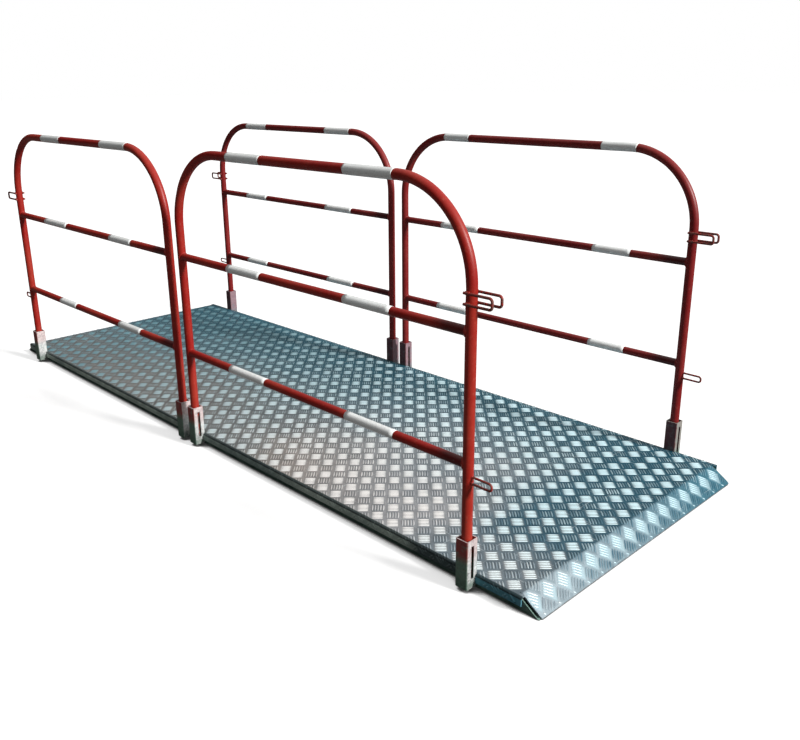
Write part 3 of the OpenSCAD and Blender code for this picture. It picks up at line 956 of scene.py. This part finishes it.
# %% Beads on the guards
LEG_REACH, SINK = 0.0075, 0.0004    # half length of a leg's bead, and how far it sinks into the rod


def loop_legs(loop):
    """Radius of a loop's rod, and the heights of its two legs."""
    low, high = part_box(f"guard_rear_right_{loop}")
    rod = half_size(f"guard_rear_right_{loop}", Y)
    return rod, (low.z + rod, high.z - rod)


UPPER_ROD_R, UPPER_LEGS = loop_legs("loop_outside")
LOWER_ROD_R, LOWER_LEGS = loop_legs("loop_low")
UPPER_SEAM = abs(box_middle("guard_rear_right_loop_outside", Y) - GUARD_Y) - RING_BEAD

for side, end in GUARDS:
    side_y, turn = SIGN[side] * GUARD_Y, SIGN[end]
    rings = [rail_bead(rail_z, turn * post_x, turn * toward, side_y)
             for rail_z in RAIL_Z for post_x, toward in ((POST_IN, 1), (POST_OUT, -1))]
    rings += [ring_bead((turn * (POST_OUT + HOOP_R), side_y, leg), LOWER_ROD_R + SINK, RING_BEAD)
              for leg in LOWER_LEGS]
    shorts = []
    for face, leg, above in itertools.product((-1, 1), UPPER_LEGS, (-1, 1)):
        spot = (side_y + face * UPPER_SEAM, leg + above * (UPPER_ROD_R - SINK))
        start, stop = ((turn * POST_OUT + reach, *spot) for reach in (-LEG_REACH, LEG_REACH))
        shorts.append(short_bead(start, stop, (0, face, above), LEG_BEAD))
    add_mesh(f"beads_{side}_{end}", *joined(rings, shorts), f"guard_{side}_{end}", "guard_paint",
             finishes["guard_paint"])
print("beads on each guard:", len(rings) + len(shorts))

# %% [markdown]
# Each socket is welded to the side rail along both of its upright inner edges. These seams don't move
# with a guard, so they ride on the deck.

# %% Beads on the deck's frame
SEAM_IN, SEAM_OUT, FOOT_CLEAR, TOP_CLEAR = 0.0022, 0.0012, 0.004, 0.002
socket_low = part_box("socket_rear_right_outer")[0]
seam_off = half_size("socket_rear_right_outer", X) - SEAM_IN
seam_y, seam_foot = socket_low.y + SEAM_OUT, socket_low.z + FOOT_CLEAR
seam_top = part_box("side_rail_rear")[1].z - TOP_CLEAR
seams = []
for (side, end), post_x, edge in itertools.product(GUARDS, (POST_IN, POST_OUT), (-1, 1)):
    place = (SIGN[end] * post_x + edge * seam_off, SIGN[side] * seam_y)
    seams.append(short_bead((*place, seam_foot), (*place, seam_top), (edge, SIGN[side], 0), SEAM_BEAD))
add_mesh("beads_deck", *joined(strips=seams), "deck", "socket_steel", finishes["socket_steel"])
print("seams between sockets and frame:", len(seams))

# %% [markdown]
# ## Floor and background
#
# The bridge stands on a plain white floor that runs into a white background. More light would make
# the floor white too, but then the tubes would be lit from below and bleached. So the floor glows to
# the camera alone and is a dark grey to everything else. Where something hangs close over it, as
# under the deck's edges, an occlusion mask paints a contact shadow on it. The background is white to
# the camera. To the bridge it gives a weak fill from overhead, and in reflections it is brightest high
# up beyond the near end.

# %% Floor
FLOOR_HALF, FLOOR_DROP = 60.0, 0.0008
GLOW, OPEN_REACH = 0.62, 0.036

floor_look = Finish("studio floor", Roughness=0.9, Specular_IOR_Level=0.0, Emission_Color=grey(1.0))
# painted contact shadow: the floor's glow fades where something hangs close over it
openness = floor_look.node("ShaderNodeAmbientOcclusion", {"Distance": OPEN_REACH}).outputs["AO"]
openness = floor_look.between(floor_look.step(openness, 0.38, 0.66), 0.04, 1.0)
seen = floor_look.times(floor_look.rays("Camera"), openness)
floor_look.feed(floor_look.shader.inputs["Base Color"], floor_look.mix(seen, grey(0.11), grey(0.50)))
floor_look.feed(floor_look.shader.inputs["Emission Strength"], floor_look.times(seen, GLOW))
corners = [(x, y, -FLOOR_DROP) for x, y in ((-1, -1), (1, -1), (1, 1), (-1, 1))]
floor_mesh = bpy.data.meshes.new("floor")
floor_mesh.from_pydata([(x * FLOOR_HALF, y * FLOOR_HALF, z) for x, y, z in corners], [], [(0, 1, 2, 3)])
floor_mesh.materials.append(floor_look.material)
floor = bpy.data.objects.new("floor", floor_mesh)
bpy.context.scene.collection.objects.link(floor)
print("floor", 2 * FLOOR_HALF, "m square")

# %% Background
world = bpy.data.worlds.new("studio")
world.use_nodes = True
bpy.context.scene.world = world
backdrop = world.node_tree.nodes["Background"]
sky = Recipe(world.node_tree)


def toward(direction, low, high, dark, bright):
    """Strength of the background that rises from dark to bright as the view turns toward a direction;
    low and high are the sines where the rise begins and ends."""
    view = sky.node("ShaderNodeTexCoord", {}).outputs["Generated"]
    dot = sky.node("ShaderNodeVectorMath", {0: view, 1: Vector(direction).normalized()},
                   operation="DOT_PRODUCT").outputs["Value"]
    return sky.between(sky.step(dot, low, high), dark, bright)


fill = toward((0.15, 0.28, 0.94), -0.2, 0.95, 0.02, 0.56)
shine = toward((0.45, 0.30, 0.84), -0.15, 0.85, 0.015, 1.0)
strength = sky.between(sky.rays("Glossy", "Transmission"), fill, shine)
strength = sky.between(sky.rays("Camera"), strength, 1.0)
sky.feed(backdrop.inputs["Color"], grey(1.0))
sky.feed(backdrop.inputs["Strength"], strength)
print("background ready:", world.name)

# %% [markdown]
# ## Key light
#
# One sun beyond the near end, a third of the way up, rakes along the deck. It catches the backs of the
# bars and the near nose and leaves the long sides in shade. An area light would do the same close by,
# but a sun lights both ends of a three metre deck alike. Its angle softens the edges of the shadows.

# %% Key light
KEY_AZIMUTH, KEY_HEIGHT = math.radians(13), math.radians(31)
toward_key = Vector((math.cos(KEY_AZIMUTH) * math.cos(KEY_HEIGHT),
                     math.sin(KEY_AZIMUTH) * math.cos(KEY_HEIGHT), math.sin(KEY_HEIGHT)))
key_data = bpy.data.lights.new("key", "SUN")
key_data.energy, key_data.angle, key_data.color = 4.4, math.radians(9), (1.0, 0.99, 0.97)
key = bpy.data.objects.new("key", key_data)
key.rotation_mode = "QUATERNION"
key.rotation_quaternion = toward_key.to_track_quat("Z", "Y")
bpy.context.scene.collection.objects.link(key)
print("key comes from", [round(v, 2) for v in toward_key])

# %% [markdown]
# ## Camera
#
# The camera stands off the near front corner, a little over the top bars. Its axes are worked out from
# three angles and put into a matrix as they are, which leaves no doubt about the order of turns.

# %% Camera
EYE = (2.468, -1.921, 1.223)
LENS, SENSOR, SHIFT = 37.68, 36, (0.0117, -0.0268)
azimuth, height, roll = (math.radians(v) for v in (45.914, 17.836, -0.554))
right = Vector((math.cos(azimuth), math.sin(azimuth), 0))
back = Vector((math.sin(azimuth) * math.cos(height), -math.cos(azimuth) * math.cos(height), math.sin(height)))
above = back.cross(right)
rolled_right = math.cos(roll) * right + math.sin(roll) * above
rolled_up = -math.sin(roll) * right + math.cos(roll) * above
camera_data = bpy.data.cameras.new("camera")
camera_data.lens, camera_data.sensor_width = LENS, SENSOR
camera_data.shift_x, camera_data.shift_y = SHIFT
camera = bpy.data.objects.new("camera", camera_data)
turned = Matrix((rolled_right, rolled_up, back)).transposed().to_4x4()
camera.matrix_world = Matrix.Translation(EYE) @ turned
bpy.context.scene.collection.objects.link(camera)
bpy.context.scene.camera = camera
bpy.context.scene.view_settings.view_transform = "Standard"
print("camera at", [round(v, 3) for v in camera.location], "lens", camera_data.lens)
